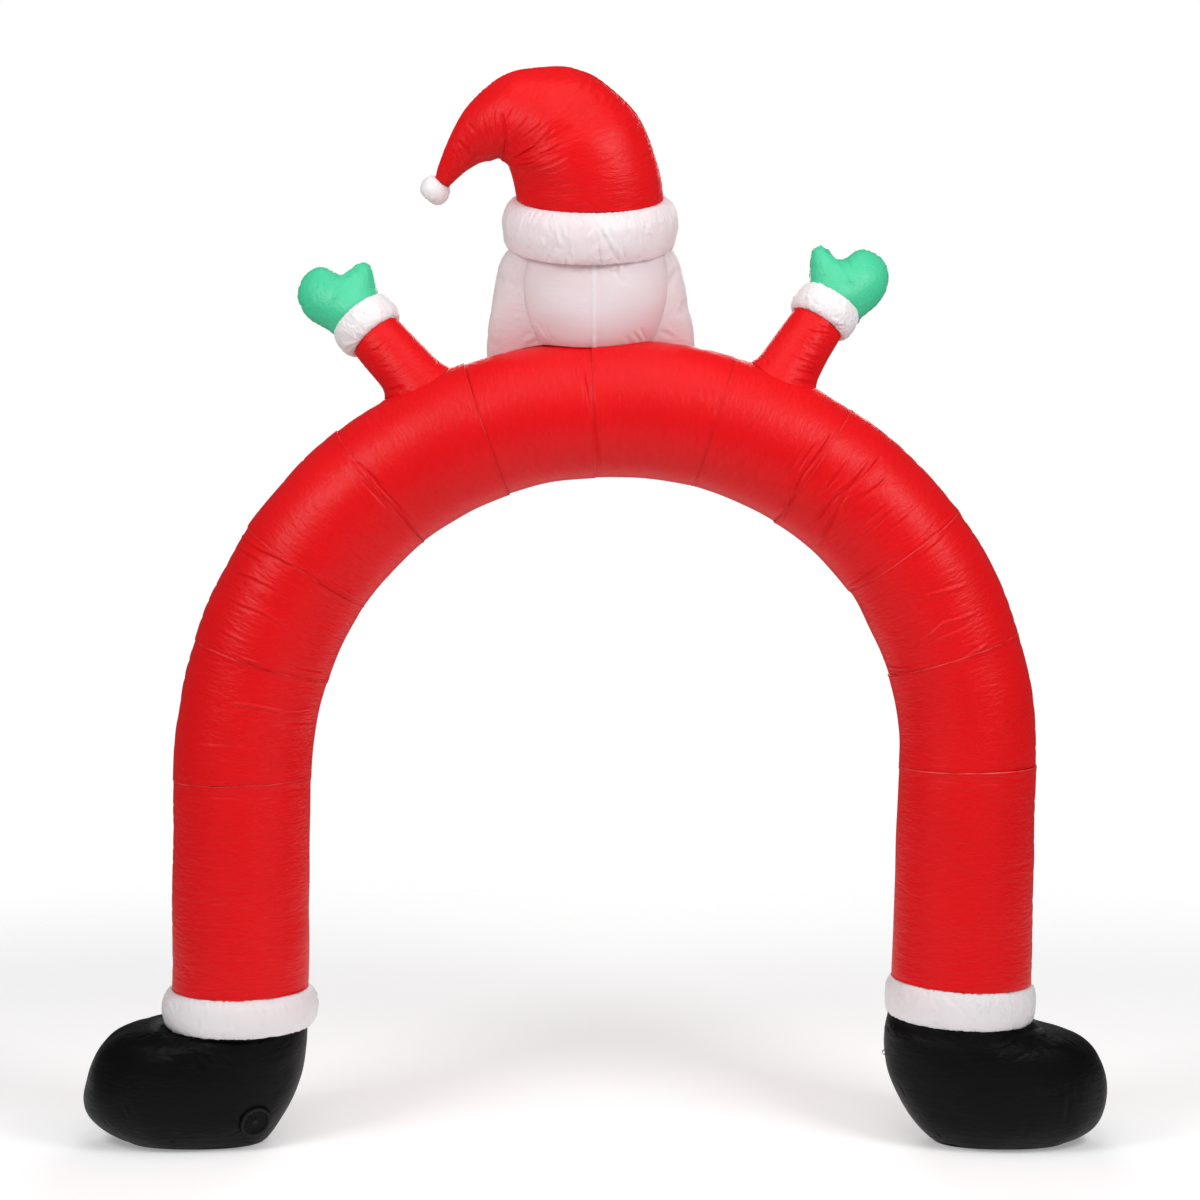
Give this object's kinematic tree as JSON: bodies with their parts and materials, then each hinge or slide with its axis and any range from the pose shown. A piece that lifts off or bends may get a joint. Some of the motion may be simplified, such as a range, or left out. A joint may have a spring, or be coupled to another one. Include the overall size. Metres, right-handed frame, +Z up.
{
  "type": "inflatable walk-through arch",
  "caption": "Inflatable walk-through arch of sewn cloth: a red tube standing in black boots, with a capped festive figure and raised mittened arms on its crown.",
  "frame": {"origin": "on the ground, in the middle of the object's box", "axes": "+Z up, +X to the right as seen from the figure's back, +Y through the arch towards the figure's front"},
  "size_m": [2.8589, 0.5348, 2.9818],
  "materials": {
    "red_cloth": "thin woven nylon, soft sheen",
    "white_cloth": "thin woven nylon, soft sheen",
    "green_cloth": "thin woven nylon, soft sheen",
    "black_cloth": "thin woven nylon, soft sheen",
    "guard_plastic": "moulded, matt"
  },
  "bodies": {
    "root": {"leg_left": "red_cloth", "leg_right": "red_cloth", "gore_01": "red_cloth", "gore_02": "red_cloth", "gore_03": "red_cloth", "gore_04": "red_cloth", "gore_05": "red_cloth", "gore_06": "red_cloth", "gore_07": "red_cloth", "gore_08": "red_cloth", "gore_09": "red_cloth", "gore_10": "red_cloth", "arm_left": "red_cloth", "arm_right": "red_cloth", "hat": "red_cloth", "boot_cuff_left": "white_cloth", "boot_cuff_right": "white_cloth", "wrist_cuff_left": "white_cloth", "wrist_cuff_right": "white_cloth", "side_form": "white_cloth", "head_pouch": "white_cloth", "hat_band": "white_cloth", "hat_bobble": "white_cloth", "mitten_left": "green_cloth", "mitten_right": "green_cloth", "boot_left": "black_cloth", "boot_right": "black_cloth", "heel_tab_right": "black_cloth", "blower_guard": "guard_plastic"}
  },
  "joints": []
}
